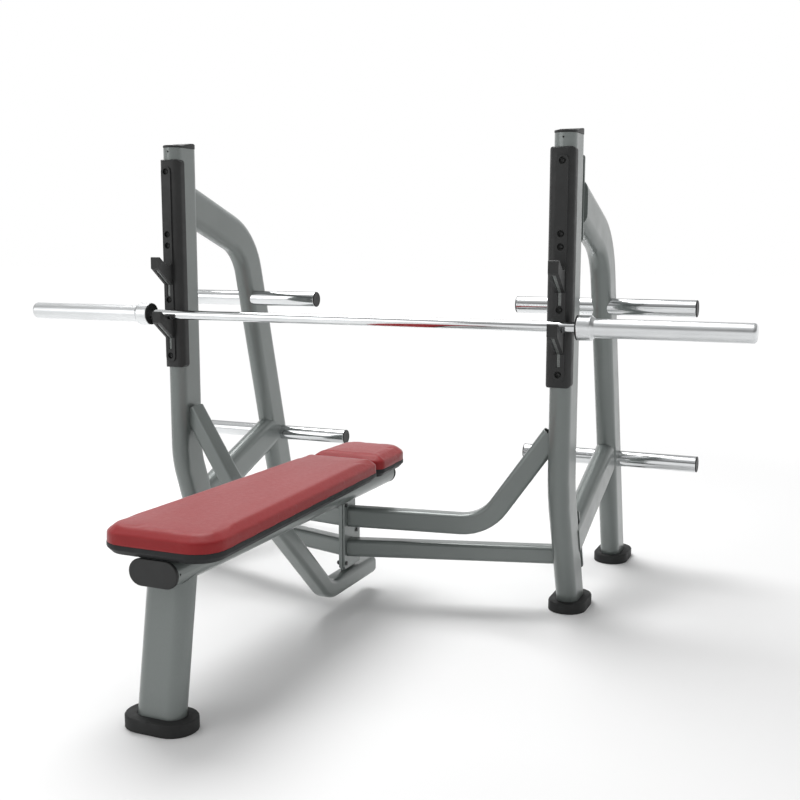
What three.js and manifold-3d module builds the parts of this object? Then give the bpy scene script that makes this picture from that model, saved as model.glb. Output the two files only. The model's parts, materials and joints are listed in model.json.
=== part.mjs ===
// Olympic flat bench press: two racked uprights on splayed rear legs, a bench on a
// central beam, four plate storage pegs and a barbell resting in the lower hooks.
// Millimetres. +X runs along the barbell, +Y from the foot end of the bench to the
// rear legs, +Z up. Every dimension below is measured with Y = 0 at the barbell axis;
// the whole group is then shifted so that the origin lies under the middle of the
// object's box, on the floor.
import * as THREE from "three";
import { mergeVertices } from "three/addons/utils/BufferGeometryUtils.js";
import Module from "manifold-3d";

const wasm = await Module();
wasm.setup();

// ---------------------------------------------------------------- driving dimensions
const ORIGIN_Y = 72.27; // shift of the barbell axis from the middle of the box
const GAP = 0.3; // clearance between parts that touch
const TUBE_W = 60; // flat-oval frame tube, narrow side
const TUBE_D = 120; // flat-oval tube of the bench, long side
const SIDE_D = 118; // flat-oval tube of the side frames, long side
const WALL = 3; // wall of every tube

const UP_X = 602.5; // uprights, distance from the middle
const UP_Y = 85.5; // centre of the vertical part of an upright
const UP_TOP = 1306.5; // top end of the upright tube
const UP_KNEE_Z = 361; // where the upright starts to kick back
const UP_KICK = 20; // degrees from vertical
const UP_BEND_R = 260;
const FOOT_L = 170;
const FOOT_W = 106;
const FOOT_H = 29;

const REAR_X = 609; // rear leg tubes
const REAR_TOP_Z = 1144; // height of the rear tube's axis at its mounting plate
const REAR_PLATE_Y = 145.9; // front face of the mounting plate
const PLATE_T = 7;
const PLATE_X = [592, 630]; // mounting plates, inner and outer edge
const REAR_DROP = 19.6; // fall of the upper stretch, degrees
const REAR_LEAN = 15; // lean of the lower stretch from vertical, degrees
const REAR_BEND = [459, 1025]; // where the two stretches cross
const REAR_BEND_R = 190;

const BRACE_X = 606.5;
const BRACE_W = 58;
const BRACE_RISE = 20.5; // degrees
const BRACE_AT = [215, 218]; // a point on the brace axis
const BRACE_PLATE_L = 194;

const PEG_R = 25;
const PEG_HI = { y: 482, z: 839, x0: 346, x1: 888 };
const PEG_LO = { y: 655, z: 349, x0: 325, x1: 880 };

const COVER_Z0 = 649;
const COVER_Z1 = 1271;
const COVER_X = 600; // middle of the cover
const COVER_W = 69;
const HOOK_X = 604.5; // hooks, strip and screws sit a little outboard of it
const COVER_FRONT = 19; // Y of the cover's face
const COVER_BACK = 57;
const STRIP_W = 32; // raised guide strip down the middle of the cover
const STRIP_FRONT = 14.3;
const STRIP_Z0 = 668;
const STRIP_Z1 = 1249;
const HOOK_W = 28;
const HOOK_TIPS = [983.4, 823.0]; // heights of the two hook tips
const HOOK_REACH = -52; // Y of the hook's front face
const BOLT_Z = [1235, 1050.5, 1017, 854.7, 685.6];

const BAR_Z = 812;
const BAR_R = 14;
const BAR_HALF = 1100;
const COLLAR_X = 656;
const COLLAR_R = 33;
const SLEEVE_R = 25;
const BORE_R = 12.7;
const STUB_R = 12.62;

const XBAR_D = 50; // crossbeam section, front to back
const XHI_H = 58;
const XHI_Z = 251;
const XHI_Y0 = 0; // crossbeam axis in the middle of the rack
const XHI_VERTEX = 394; // where its level and rising stretches cross
const XHI_RISE = 55;
const XHI_BEND_R = 130;
const XLO_H = 50;
const XLO_Z = 162;
const XLO_Y0 = -8;
const XLO_Y1 = 157; // at the upright's inner side

const SPLICE_T = 6;
const SPLICE_Y = [-42, 58];
const SPLICE_NECK = [29, 262]; // the plates narrow to this Y above this height
const SPLICE_Z = [104, 300];

const BEAM_Z = 342;
const BEAM_Y = [-922, 195];
const BEAM_CAP_T = 8;
const LEG_TOP_Y = -861; // leg axis under the beam
const LEG_LEAN = 9.8;
const STRUT_W = 50;
const STRUT_Z = 73;
const STRUT_KNEE_Y = -147;
const STRUT_RISE = 43;
const STRUT_END_Y = 142;

const TRAY_Z = 372.4;
const SPLIT_Z = 395.8; // tray top
const PAD_TOP = 435;
const MAIN_Y = [-936, -30];
const HEAD_Y = [-14, 203];
const PAD_HALF = 147; // half width at Y = -900
const PAD_TAPER = 0.039;

// ---------------------------------------------------------------- materials
const mat = (name, color, roughness, metalness) => {
  const m = new THREE.MeshStandardMaterial({ color, roughness, metalness });
  m.name = name;
  return m;
};
const PAINT = mat("frame_paint", 0x6e7573, 0.45, 0.3);
const BLACK = mat("black_plastic", 0x2e2e2e, 0.5, 0.0);
const RUBBER = mat("foot_rubber", 0x262727, 0.7, 0.0);
const CHROME = mat("chrome", 0xd8dadb, 0.12, 1.0);
const STEEL = mat("hook_steel", 0x9a9d9b, 0.4, 0.9);
const VINYL = mat("red_vinyl", 0xa84c4d, 0.55, 0.0);
const TRAYM = mat("pad_tray", 0x333333, 0.55, 0.0);
const BOLTM = mat("bolt_black", 0x1d1d1d, 0.45, 0.6);

// ---------------------------------------------------------------- solids
const rad = (d) => (d * Math.PI) / 180;

function solid(geometry) {
  const g = geometry.index ? geometry.toNonIndexed() : geometry.clone();
  g.deleteAttribute("normal");
  g.deleteAttribute("uv");
  const m = mergeVertices(g, 1e-4);
  const tri = new Uint32Array(m.index.array);
  const pos = m.attributes.position.array;
  let s = new wasm.Manifold(
    new wasm.Mesh({ numProp: 3, vertProperties: pos, triVerts: tri }),
  );
  if (s.volume() < 0) {
    for (let i = 0; i < tri.length; i += 3)
      [tri[i + 1], tri[i + 2]] = [tri[i + 2], tri[i + 1]];
    s = new wasm.Manifold(
      new wasm.Mesh({ numProp: 3, vertProperties: pos, triVerts: tri }),
    );
  }
  return s;
}

function geometryOf(s) {
  const m = s.getMesh();
  const n = m.numProp;
  const pos = new Float32Array((m.vertProperties.length / n) * 3);
  for (let i = 0, j = 0; i < m.vertProperties.length; i += n) {
    pos[j++] = m.vertProperties[i];
    pos[j++] = m.vertProperties[i + 1];
    pos[j++] = m.vertProperties[i + 2];
  }
  const g = new THREE.BufferGeometry();
  g.setAttribute("position", new THREE.BufferAttribute(pos, 3));
  g.setIndex(new THREE.BufferAttribute(new Uint32Array(m.triVerts), 1));
  const flat = g.toNonIndexed();
  flat.computeVertexNormals();
  return flat;
}

// A box between two corners.
function box(x0, x1, y0, y1, z0, z1) {
  const g = new THREE.BoxGeometry(x1 - x0, y1 - y0, z1 - z0);
  g.translate((x0 + x1) / 2, (y0 + y1) / 2, (z0 + z1) / 2);
  return solid(g);
}

// A flat-oval outline, w along the shape's x and d along its y.
function ovalPath(target, w, d, n = 12) {
  const r = Math.min(w, d) / 2;
  const lx = w / 2 - r,
    ly = d / 2 - r;
  const pts = [];
  const arc = (cx, cy, a0) => {
    for (let i = 0; i <= n; i++) {
      const a = a0 + (Math.PI * i) / n;
      pts.push([cx + r * Math.cos(a), cy + r * Math.sin(a)]);
    }
  };
  if (d >= w) {
    arc(0, ly, 0);
    arc(0, -ly, Math.PI);
  } else {
    arc(lx, 0, -Math.PI / 2);
    arc(-lx, 0, Math.PI / 2);
  }
  pts.forEach((p, i) => (i ? target.lineTo(p[0], p[1]) : target.moveTo(p[0], p[1])));
  target.closePath();
  return target;
}
const oval = (w, d, n = 12) => ovalPath(new THREE.Shape(), w, d, n);
const ovalTube = (w, d) => {
  const s = oval(w, d);
  s.holes.push(ovalPath(new THREE.Path(), w - 2 * WALL, d - 2 * WALL, 4));
  return s;
};

function rrectPath(target, w, h, r, n = 4) {
  const pts = [];
  const c = [
    [w / 2 - r, h / 2 - r, 0],
    [-w / 2 + r, h / 2 - r, 90],
    [-w / 2 + r, -h / 2 + r, 180],
    [w / 2 - r, -h / 2 + r, 270],
  ];
  for (const [x, y, a] of c)
    for (let i = 0; i <= n; i++) {
      const t = rad(a + (90 * i) / n);
      pts.push([x + r * Math.cos(t), y + r * Math.sin(t)]);
    }
  pts.forEach((p, i) => (i ? target.lineTo(p[0], p[1]) : target.moveTo(p[0], p[1])));
  target.closePath();
  return target;
}
const rrect = (w, h, r, n = 4) => rrectPath(new THREE.Shape(), w, h, r, n);
const rrectTube = (w, h, r, n = 4) => {
  const s = rrect(w, h, r, n);
  s.holes.push(rrectPath(new THREE.Path(), w - 2 * WALL, h - 2 * WALL, r - WALL, 1));
  return s;
};

// A polyline in one plane with rounded corners. Stations sit at the ends and along
// each bend, so straight stretches stay one facet long.
class BentPath extends THREE.Curve {
  constructor(points, radii, steps = 8) {
    super();
    this.st = [];
    const P = points.map((p) => new THREE.Vector3(...p));
    const dir = (a, b) => b.clone().sub(a).normalize();
    this.st.push([P[0], dir(P[0], P[1])]);
    for (let i = 1; i < P.length - 1; i++) {
      const a = dir(P[i - 1], P[i]),
        b = dir(P[i], P[i + 1]);
      const turn = a.angleTo(b);
      const r = radii[i - 1];
      const t = r * Math.tan(turn / 2);
      const start = P[i].clone().addScaledVector(a, -t);
      const side = b.clone().addScaledVector(a, -a.dot(b)).normalize();
      for (let k = 0; k <= steps; k++) {
        const u = (turn * k) / steps;
        const q = start
          .clone()
          .addScaledVector(a, r * Math.sin(u))
          .addScaledVector(side, r * (1 - Math.cos(u)));
        const tan = a.clone().multiplyScalar(Math.cos(u)).addScaledVector(side, Math.sin(u));
        this.st.push([q, tan]);
      }
    }
    const n = P.length;
    this.st.push([P[n - 1], dir(P[n - 2], P[n - 1])]);
    this.steps = this.st.length - 1;
  }
  at(u) {
    return this.st[Math.round(THREE.MathUtils.clamp(u, 0, 1) * this.steps)];
  }
  getPoint(u) {
    return this.at(u)[0].clone();
  }
  getPointAt(u) {
    return this.at(u)[0].clone();
  }
  getTangentAt(u) {
    return this.at(u)[1].clone();
  }
  getSpacedPoints() {
    return this.st.map((s) => s[0].clone());
  }
}
// The section's x lies along the world axis that the path's start leaves free, its y
// in the plane of the path.
const sweep = (shape, path) =>
  solid(new THREE.ExtrudeGeometry(shape, { steps: path.steps, extrudePath: path, bevelEnabled: false }));

// A prism of a shape drawn in XY, from z0 up.
const prism = (shape, z0, z1) => {
  const g = new THREE.ExtrudeGeometry(shape, { depth: z1 - z0, bevelEnabled: false, curveSegments: 12 });
  g.translate(0, 0, z0);
  return solid(g);
};
// A prism of an outline drawn in YZ, between two X values.
const prismX = (pts, x0, x1) => {
  const s = new THREE.Shape(pts.map((p) => new THREE.Vector2(p[0], p[1])));
  const g = new THREE.ExtrudeGeometry(s, { depth: x1 - x0, bevelEnabled: false });
  g.applyMatrix4(new THREE.Matrix4().set(0, 0, 1, x0, 1, 0, 0, 0, 0, 1, 0, 0, 0, 0, 0, 1));
  return solid(g);
};
// A rod along X.
const rodX = (r, x0, x1, y, z, n = 32) => {
  const g = new THREE.CylinderGeometry(r, r, x1 - x0, n);
  g.rotateZ(-Math.PI / 2);
  g.translate((x0 + x1) / 2, y, z);
  return solid(g);
};
// A round of a profile [axial, radius] about an axis parallel to X.
const turnX = (profile, y, z, n = 40) => {
  const g = new THREE.LatheGeometry(
    profile.map((p) => new THREE.Vector2(p[1], p[0])),
    n,
  );
  g.rotateZ(-Math.PI / 2);
  g.translate(0, y, z);
  return solid(g);
};
const arcPts = (cy, cz, r, a0, a1, n) => {
  const out = [];
  for (let i = 0; i <= n; i++) {
    const a = rad(a0 + ((a1 - a0) * i) / n);
    out.push([cy + r * Math.cos(a), cz + r * Math.sin(a)]);
  }
  return out;
};

const root = new THREE.Group();
root.position.y = ORIGIN_Y;
const left = new THREE.Group();
left.scale.x = -1;
const right = new THREE.Group();
const middle = new THREE.Group();
root.add(left, right, middle);

function part(group, name, s, material) {
  const m = new THREE.Mesh(geometryOf(s), material);
  m.name = name;
  group.add(m);
}
// The two sides are mirror images about the middle plane.
function pair(name, s, material) {
  part(left, name + "_left", s, material);
  part(right, name + "_right", s, material);
}

// ---------------------------------------------------------------- uprights
const kick = rad(UP_KICK);
const upPath = (extra) =>
  new BentPath(
    [
      [UP_X, UP_Y + Math.tan(kick) * (UP_KNEE_Z + 40), -40],
      [UP_X, UP_Y, UP_KNEE_Z],
      [UP_X, UP_Y, UP_TOP + extra],
    ],
    [UP_BEND_R],
    6,
  );
const upFull = sweep(ovalTube(TUBE_W, SIDE_D), upPath(0));
// small locking screw hole near the top of the front face
const screwHole = (() => {
  const g = new THREE.CylinderGeometry(2.6, 2.6, 8, 12);
  g.translate(UP_X, UP_Y - SIDE_D / 2 + 2, 1294.5);
  return solid(g);
})();
const upFat = sweep(oval(TUBE_W + 2 * GAP, SIDE_D + 2 * GAP), upPath(30));
const floorCut = (z) => box(-1300, 1300, -1300, 1300, -400, z);
const upright = upFull.subtract(floorCut(8.3)).subtract(screwHole);
pair("upright", upright, PAINT);

// moulded top cap, low at the front with a crown towards the back
{
  const lid = prism(oval(TUBE_W + 2, SIDE_D + 2), UP_TOP + GAP, UP_TOP + 40).translate([UP_X, UP_Y, 0]);
  const y0 = UP_Y - 70,
    z0 = UP_TOP + GAP;
  const crown = prismX(
    [
      [y0, z0 - 1], [y0 + 150, z0 - 1], [y0 + 150, z0 + 6],
      [UP_Y + 56, z0 + 9.6], [UP_Y + 45, z0 + 13.6], [UP_Y + 32, z0 + 15.6], [UP_Y + 18, z0 + 15],
      [UP_Y + 2, z0 + 12], [UP_Y - 16, z0 + 8.6], [UP_Y - 34, z0 + 6.4], [UP_Y - 50, z0 + 6], [y0, z0 + 7],
    ],
    UP_X - 50,
    UP_X + 50,
  );
  pair("upright_cap", lid.intersect(crown), BLACK);
}

// rubber feet, each an oval shoe with a chamfered rim around the tube
function shoe(alongX, cx, cy, fat) {
  const w = alongX ? FOOT_L : FOOT_W,
    d = alongX ? FOOT_W : FOOT_L;
  const g = new THREE.ExtrudeGeometry(oval(w - 8, d - 8), {
    depth: FOOT_H - 4, bevelEnabled: true, bevelThickness: 4, bevelSize: 4, bevelSegments: 2,
  });
  g.translate(cx, cy, 0);
  const body = solid(g).intersect(box(cx - 200, cx + 200, cy - 200, cy + 200, 0, FOOT_H));
  return body.subtract(fat.subtract(floorCut(8)));
}
pair("upright_foot", shoe(false, UP_X, UP_Y + Math.tan(kick) * (UP_KNEE_Z - 14) - 4, upFat), RUBBER);

// ---------------------------------------------------------------- rear legs
const drop = rad(REAR_DROP),
  lean = rad(REAR_LEAN);
const rearPath = new BentPath(
  [
    [REAR_X, REAR_BEND[0] - 400 * Math.cos(drop), REAR_BEND[1] + 400 * Math.sin(drop)],
    [REAR_X, REAR_BEND[0], REAR_BEND[1]],
    [REAR_X, REAR_BEND[0] + Math.tan(lean) * (REAR_BEND[1] + 40), -40],
  ],
  [REAR_BEND_R],
  9,
);
const rearFull = sweep(ovalTube(TUBE_W, SIDE_D), rearPath);
const rearFat = sweep(oval(TUBE_W + 2 * GAP, SIDE_D + 2 * GAP), rearPath);
const pegHole = (p) => rodX(PEG_R + GAP, REAR_X - 60, REAR_X + 60, p.y, p.z, 32);
const plateBack = REAR_PLATE_Y + PLATE_T;
const rearTube = rearFull
  .subtract(floorCut(8.3))
  .subtract(box(0, 1300, -200, UP_Y + 36, 600, 1500))
  .subtract(upFat)
  .subtract(box(PLATE_X[0] - GAP, 700, REAR_PLATE_Y - 60, plateBack + GAP, 900, 1400))
  .subtract(pegHole(PEG_HI))
  .subtract(pegHole(PEG_LO));
pair("rear_tube", rearTube, PAINT);
const rearFootY = REAR_BEND[0] + Math.tan(lean) * (REAR_BEND[1] - 14);
pair("rear_foot", shoe(false, REAR_X, rearFootY + 6, rearFat), RUBBER);

// plate between the upright's back and the rear tube's top end
const rrectXZ = (w, h, r, cx, cz, y0, y1) => {
  const g = new THREE.ExtrudeGeometry(rrect(w, h, r), { depth: y1 - y0, bevelEnabled: false });
  g.rotateX(Math.PI / 2);
  g.translate(cx, y1, cz);
  return solid(g);
};
pair(
  "rear_mount_plate",
  rrectXZ(PLATE_X[1] - PLATE_X[0], 228, 8, (PLATE_X[0] + PLATE_X[1]) / 2, REAR_TOP_Z, REAR_PLATE_Y, plateBack),
  PAINT,
);

// ---------------------------------------------------------------- lower braces
const rise = rad(BRACE_RISE);
const along = (s) => [BRACE_X, BRACE_AT[0] + s * Math.cos(rise), BRACE_AT[1] + s * Math.sin(rise)];
// the plate lies on the back of the kicked stretch of the upright
const kickBackY = (z) => UP_Y + Math.tan(kick) * (UP_KNEE_Z - z) + SIDE_D / 2 / Math.cos(kick);
const bracePlateGeo = (t0, t1, w, l, r) => {
  const g = new THREE.ExtrudeGeometry(rrect(w, l, r), { depth: t1 - t0, bevelEnabled: false });
  g.rotateX(Math.PI / 2); // thickness now along -Y, from t1 down to t0
  g.translate(0, t1, 0);
  g.rotateX(kick);
  g.translate((PLATE_X[0] + PLATE_X[1]) / 2, kickBackY(196), 196);
  return g;
};
pair("brace_plate", solid(bracePlateGeo(GAP, GAP + PLATE_T, PLATE_X[1] - PLATE_X[0], BRACE_PLATE_L, 8)), PAINT);
const bracePath = new BentPath([along(-55), along(430)], []);
const braceCutter = solid(bracePlateGeo(-60, GAP + PLATE_T + GAP, PLATE_X[1] - PLATE_X[0] + 2 * GAP, BRACE_PLATE_L, 8));
// the brace stops where each tube's rounded edge meets its flat side
const rearEdge = (z) => REAR_BEND[0] + Math.tan(lean) * (REAR_BEND[1] - z) - 28;
const frontEdge = (z) => kickBackY(z) - 34;
const pastRear = prismX([[rearEdge(0), 0], [1200, 0], [1200, 700], [rearEdge(700), 700]], 500, 700);
const pastFront = prismX([[-200, 0], [frontEdge(0), 0], [frontEdge(340), 340], [-200, 340]], 500, 700);
pair(
  "brace_tube",
  sweep(ovalTube(BRACE_W, SIDE_D - 6), bracePath)
    .subtract(braceCutter)
    .subtract(pastRear)
    .subtract(pastFront)
    .subtract(upFat)
    .subtract(rearFat),
  PAINT,
);

// ---------------------------------------------------------------- storage pegs
const PEG_CAP_T = 3;
for (const [name, p] of [["upper", PEG_HI], ["lower", PEG_LO]]) {
  const tube = rodX(PEG_R, p.x0 + PEG_CAP_T + GAP, p.x1 - PEG_CAP_T - GAP, p.y, p.z, 32)
    .subtract(rodX(PEG_R - WALL, p.x0 - 5, p.x1 + 5, p.y, p.z, 20));
  pair("peg_" + name, tube, CHROME);
  const plug = (a, b, c, d) =>
    turnX(
      [[a, 0], [a, PEG_R - 1.6], [b, PEG_R - 0.2], [c, PEG_R - 0.2], [c, PEG_R - WALL - GAP - 0.2], [d, PEG_R - WALL - 1.2], [d, 0]],
      p.y, p.z, 22,
    );
  pair("peg_" + name + "_inner_cap", plug(p.x0, p.x0 + 1.2, p.x0 + PEG_CAP_T, p.x0 + 16), BLACK);
  pair("peg_" + name + "_outer_cap", plug(p.x1, p.x1 - 1.2, p.x1 - PEG_CAP_T, p.x1 - 16), BLACK);
}

// ---------------------------------------------------------------- hook covers
// One moulded cover per upright: a shell round the front of the tube, a raised strip
// with counterbored screws, and two hooks with a slot in each underside.
{
  const halfW = COVER_W / 2;
  const outline = new THREE.Shape();
  const cr = 23;
  const pts = [];
  pts.push([halfW, COVER_BACK]);
  pts.push([-halfW, COVER_BACK]);
  for (const [cx, a0] of [[-halfW + cr, 180], [halfW - cr, 270]])
    for (let i = 0; i <= 6; i++) {
      const a = rad(a0 + (90 * i) / 6);
      pts.push([cx + cr * Math.cos(a), COVER_FRONT + cr + cr * Math.sin(a)]);
    }
  pts.forEach((p, i) => (i ? outline.lineTo(p[0], p[1]) : outline.moveTo(p[0], p[1])));
  outline.closePath();
  // rounded corners of the shell seen from the front, and softened top and bottom
  // the strip, hooks and screws stand this far outboard of the cover's middle
  const off = HOOK_X - COVER_X;
  const face = rrectXZ(COVER_W, COVER_Z1 - COVER_Z0, 11, 0, (COVER_Z0 + COVER_Z1) / 2, -80, COVER_BACK + 1);
  const side = prismX(
    [
      [COVER_BACK + 1, COVER_Z0], [COVER_BACK + 1, COVER_Z1], [COVER_FRONT + 9, COVER_Z1],
      [COVER_FRONT + 3, COVER_Z1 - 2.4], [COVER_FRONT, COVER_Z1 - 8], [COVER_FRONT, COVER_Z0 + 8],
      [COVER_FRONT + 3, COVER_Z0 + 2.4], [COVER_FRONT + 9, COVER_Z0],
    ],
    -60, 60,
  );
  let cover = prism(outline, COVER_Z0, COVER_Z1).intersect(face).intersect(side);
  cover = cover.add(
    rrectXZ(STRIP_W, STRIP_Z1 - STRIP_Z0, 13, off, (STRIP_Z0 + STRIP_Z1) / 2, STRIP_FRONT, COVER_FRONT + 4),
  );
  for (const zt of HOOK_TIPS) {
    const seat = zt - 25.2;
    const hook = prismX(
      [
        [HOOK_REACH + 2, zt], [HOOK_REACH, zt - 2], [HOOK_REACH, zt - 33],
        [COVER_FRONT + 2, zt - 33 - (COVER_FRONT + 2 - HOOK_REACH) * 0.775], [COVER_FRONT + 2, seat + 9],
        [STRIP_FRONT, seat + 9], [STRIP_FRONT - 2.2, seat + 3.8], [STRIP_FRONT - 7, seat + 0.8],
        [2, seat], [-8, seat], [-14, seat + 1.8], [-19, seat + 5.2],
        [-44, zt - 1.2], [-47, zt],
      ],
      off - HOOK_W / 2, off + HOOK_W / 2,
    );
    cover = cover.add(hook);
    // slot for the steel core: along the underside, then down the strip
    const k = 0.775;
    const under = (y) => zt - 33 - (y - HOOK_REACH) * k;
    cover = cover.subtract(
      prismX(
        [
          [HOOK_REACH + 7, under(HOOK_REACH + 7) - 3], [HOOK_REACH + 7, under(HOOK_REACH + 7) + 9],
          [STRIP_FRONT + 6.4, under(STRIP_FRONT + 6.4) + 9], [STRIP_FRONT + 6.4, zt - 118], [STRIP_FRONT - 3, zt - 118],
          [STRIP_FRONT - 3, under(STRIP_FRONT) - 3],
        ],
        off - 5, off + 5,
      ),
    );
  }
  // screws: a counterbore with the button head moulded proud of its floor
  for (const z of BOLT_Z) {
    const bore = new THREE.CylinderGeometry(9.5, 9.5, 20, 20);
    bore.translate(off, STRIP_FRONT + 7 - 10, z);
    cover = cover.subtract(solid(bore));
    const head = new THREE.LatheGeometry(
      [[0, 0], [0, 6.2], [-1.8, 6.2], [-3.4, 4.6], [-3.9, 2.6], [-2.2, 2.4], [-2.2, 0]].map((p) => new THREE.Vector2(p[1], p[0])),
      12,
    );
    head.translate(off, STRIP_FRONT + 7.2, z);
    cover = cover.add(solid(head));
  }
  cover = cover.translate([COVER_X, 0, 0]).subtract(upFat);
  pair("hook_cover", cover, BLACK);
  HOOK_TIPS.forEach((zt, i) => {
    const k = 0.775;
    const under = (y) => zt - 33 - (y - HOOK_REACH) * k;
    const y0 = HOOK_REACH + 7.4,
      y1 = STRIP_FRONT + 6.0;
    const core = prismX(
      [
        [y0, under(y0) + 2], [y0, under(y0) + 8.5], [y1, under(y1) + 8.5], [y1, zt - 117.6],
        [y1 - 3.6, zt - 117.6], [y1 - 3.6, under(y1 - 3.6) + 2],
      ],
      HOOK_X - 4.7, HOOK_X + 4.7,
    );
    pair("hook_core_" + (i ? "lower" : "upper"), core, STEEL);
  });
}

// ---------------------------------------------------------------- crossbeams
// Each half is swept in its own level frame, then turned about Z so that the pair makes
// a shallow V with its point forward.
const upInner = UP_X - TUBE_W / 2;
const spliceOuter = SPLICE_T / 2 + GAP + SPLICE_T;
function crossbeam(shape, path, y0, yEnd) {
  const turn = Math.atan2(yEnd - y0, upInner);
  const s = sweep(shape, path).rotate([0, 0, (turn * 180) / Math.PI]).translate([0, y0, 0]);
  return s
    .subtract(box(upInner - GAP, 1300, -800, 1300, -100, 1400))
    .subtract(box(-1300, spliceOuter + GAP, -800, 1300, -100, 1400));
}
{
  const r = rad(XHI_RISE);
  const c = Math.cos(Math.atan2(UP_Y - XHI_Y0, upInner));
  const path = new BentPath(
    [
      [XHI_VERTEX / c + 320 * Math.cos(r), 0, XHI_Z + 320 * Math.sin(r)],
      [XHI_VERTEX / c, 0, XHI_Z],
      [-40, 0, XHI_Z],
    ],
    [XHI_BEND_R],
    8,
  );
  pair("upper_crossbeam", crossbeam(rrectTube(XBAR_D, XHI_H, 13), path, XHI_Y0, UP_Y), PAINT);
  const low = new BentPath([[720, 0, XLO_Z], [-40, 0, XLO_Z - 0.001]], []);
  pair("lower_crossbeam", crossbeam(rrectTube(XBAR_D, XLO_H, 12), low, XLO_Y0, XLO_Y1), PAINT);
}

// splice plates that join the two halves and carry the bench, with their bolts
const plateYZ = (x0, x1, y0, y1, z0, z1, c) =>
  prismX([[y0 + c, z0], [y1 - c, z0], [y1, z0 + c], [y1, z1 - c], [y1 - c, z1], [y0 + c, z1], [y0, z1 - c], [y0, z0 + c]], x0, x1);
const PLATE_BOLTS = [[-32, 119], [36, 202], [-32, 289]];
const boltHoles = (s) => {
  for (const [y, z] of PLATE_BOLTS) s = s.subtract(rodX(5.2, -30, 30, y, z, 16));
  return s;
};
pair(
  "splice_plate",
  boltHoles(
    plateYZ(SPLICE_T / 2 + GAP, spliceOuter, SPLICE_Y[0], SPLICE_Y[1], SPLICE_Z[0], SPLICE_Z[1], 5).subtract(
      box(0, 60, SPLICE_NECK[0], 100, SPLICE_NECK[1], 400),
    ),
  ),
  PAINT,
);
part(
  middle,
  "centre_plate",
  boltHoles(
    plateYZ(-SPLICE_T / 2, SPLICE_T / 2, SPLICE_Y[0] - 3, SPLICE_NECK[0] - 3, STRUT_Z + STRUT_W / 2 + GAP, BEAM_Z - TUBE_W / 2 - GAP, 3),
  ),
  PAINT,
);
PLATE_BOLTS.forEach(([y, z], i) => {
  const o = spliceOuter + GAP;
  const nut = rodX(7.5, -o - 5.5, -o, y, z, 6);
  const s = rodX(4.8, -o - 9, o + 1, y, z, 16).add(rodX(6, o, o + 2.6, y, z, 16)).add(nut);
  part(middle, "splice_bolt_" + (i + 1), s, BOLTM);
});

// ---------------------------------------------------------------- bench beam, leg and strut
const alongY = (shape, y0, y1, z) => {
  const g = new THREE.ExtrudeGeometry(shape, { depth: y1 - y0, bevelEnabled: false });
  g.rotateX(Math.PI / 2);
  g.translate(0, y1, z);
  return solid(g);
};
const beamScrew = (() => {
  const g = new THREE.CylinderGeometry(2.6, 2.6, 8, 12);
  g.rotateZ(Math.PI / 2);
  g.translate(TUBE_D / 2 - 2, BEAM_Y[0] + 7, BEAM_Z + 2);
  return solid(g);
})();
part(middle, "bench_beam", alongY(ovalTube(TUBE_D, TUBE_W), BEAM_Y[0], BEAM_Y[1], BEAM_Z).subtract(beamScrew), PAINT);
const beamFat = alongY(oval(TUBE_D + 2 * GAP, TUBE_W + 2 * GAP), BEAM_Y[0] - 20, BEAM_Y[1], BEAM_Z);
const beamCap = (y0, y1, flip) => {
  const g = new THREE.ExtrudeGeometry(oval(TUBE_D - 1, TUBE_W - 4), {
    depth: y1 - y0 - 2, bevelEnabled: true, bevelThickness: 2, bevelSize: 2, bevelSegments: 2,
  });
  g.rotateX(Math.PI / 2);
  g.translate(0, flip ? y1 - 2 : y1, BEAM_Z);
  return solid(g).intersect(box(-80, 80, y0, y1, BEAM_Z - 60, BEAM_Z + 60));
};
part(middle, "beam_cap_front", beamCap(BEAM_Y[0] - BEAM_CAP_T - GAP, BEAM_Y[0] - GAP, false), BLACK);
part(middle, "beam_cap_rear", beamCap(BEAM_Y[1] + GAP, BEAM_Y[1] + BEAM_CAP_T + GAP, true), BLACK);

const legLean = rad(LEG_LEAN);
const legY = (z) => LEG_TOP_Y - Math.tan(legLean) * (BEAM_Z - TUBE_W / 2 - z);
const legPath = new BentPath([[0, legY(-40), -40], [0, legY(380), 380]], []);
// section x follows the world X here
const leg = sweep(ovalTube(TUBE_D - 6, TUBE_W), legPath)
  .subtract(floorCut(8.3))
  .subtract(box(-200, 200, -1300, 0, 331, 500))
  .subtract(beamFat);
part(middle, "front_leg", leg, PAINT);
const legFat = sweep(oval(TUBE_D - 6 + 2 * GAP, TUBE_W + 2 * GAP), legPath);
part(middle, "front_foot", shoe(true, 0, legY(14), legFat), RUBBER);

const sr = rad(STRUT_RISE);
const strutPath = new BentPath(
  [
    [0, STRUT_KNEE_Y - 420 * Math.cos(sr), STRUT_Z + 420 * Math.sin(sr)],
    [0, STRUT_KNEE_Y, STRUT_Z],
    [0, STRUT_END_Y - 14, STRUT_Z],
  ],
  [85],
  7,
);
{
  const tube = sweep(rrectTube(STRUT_W, STRUT_W, 13, 5), strutPath);
  // domed rear end
  const end = new THREE.ExtrudeGeometry(rrect(STRUT_W - 16, STRUT_W - 16, 8, 5), {
    depth: 6, bevelEnabled: true, bevelThickness: 8, bevelSize: 8, bevelSegments: 4,
  });
  end.rotateX(Math.PI / 2);
  end.translate(0, STRUT_END_Y - 8, STRUT_Z);
  const s = tube.add(solid(end)).subtract(box(-200, 200, -1300, 300, BEAM_Z - TUBE_W / 2 - GAP, 700));
  part(middle, "bench_strut", s, PAINT);
}

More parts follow.
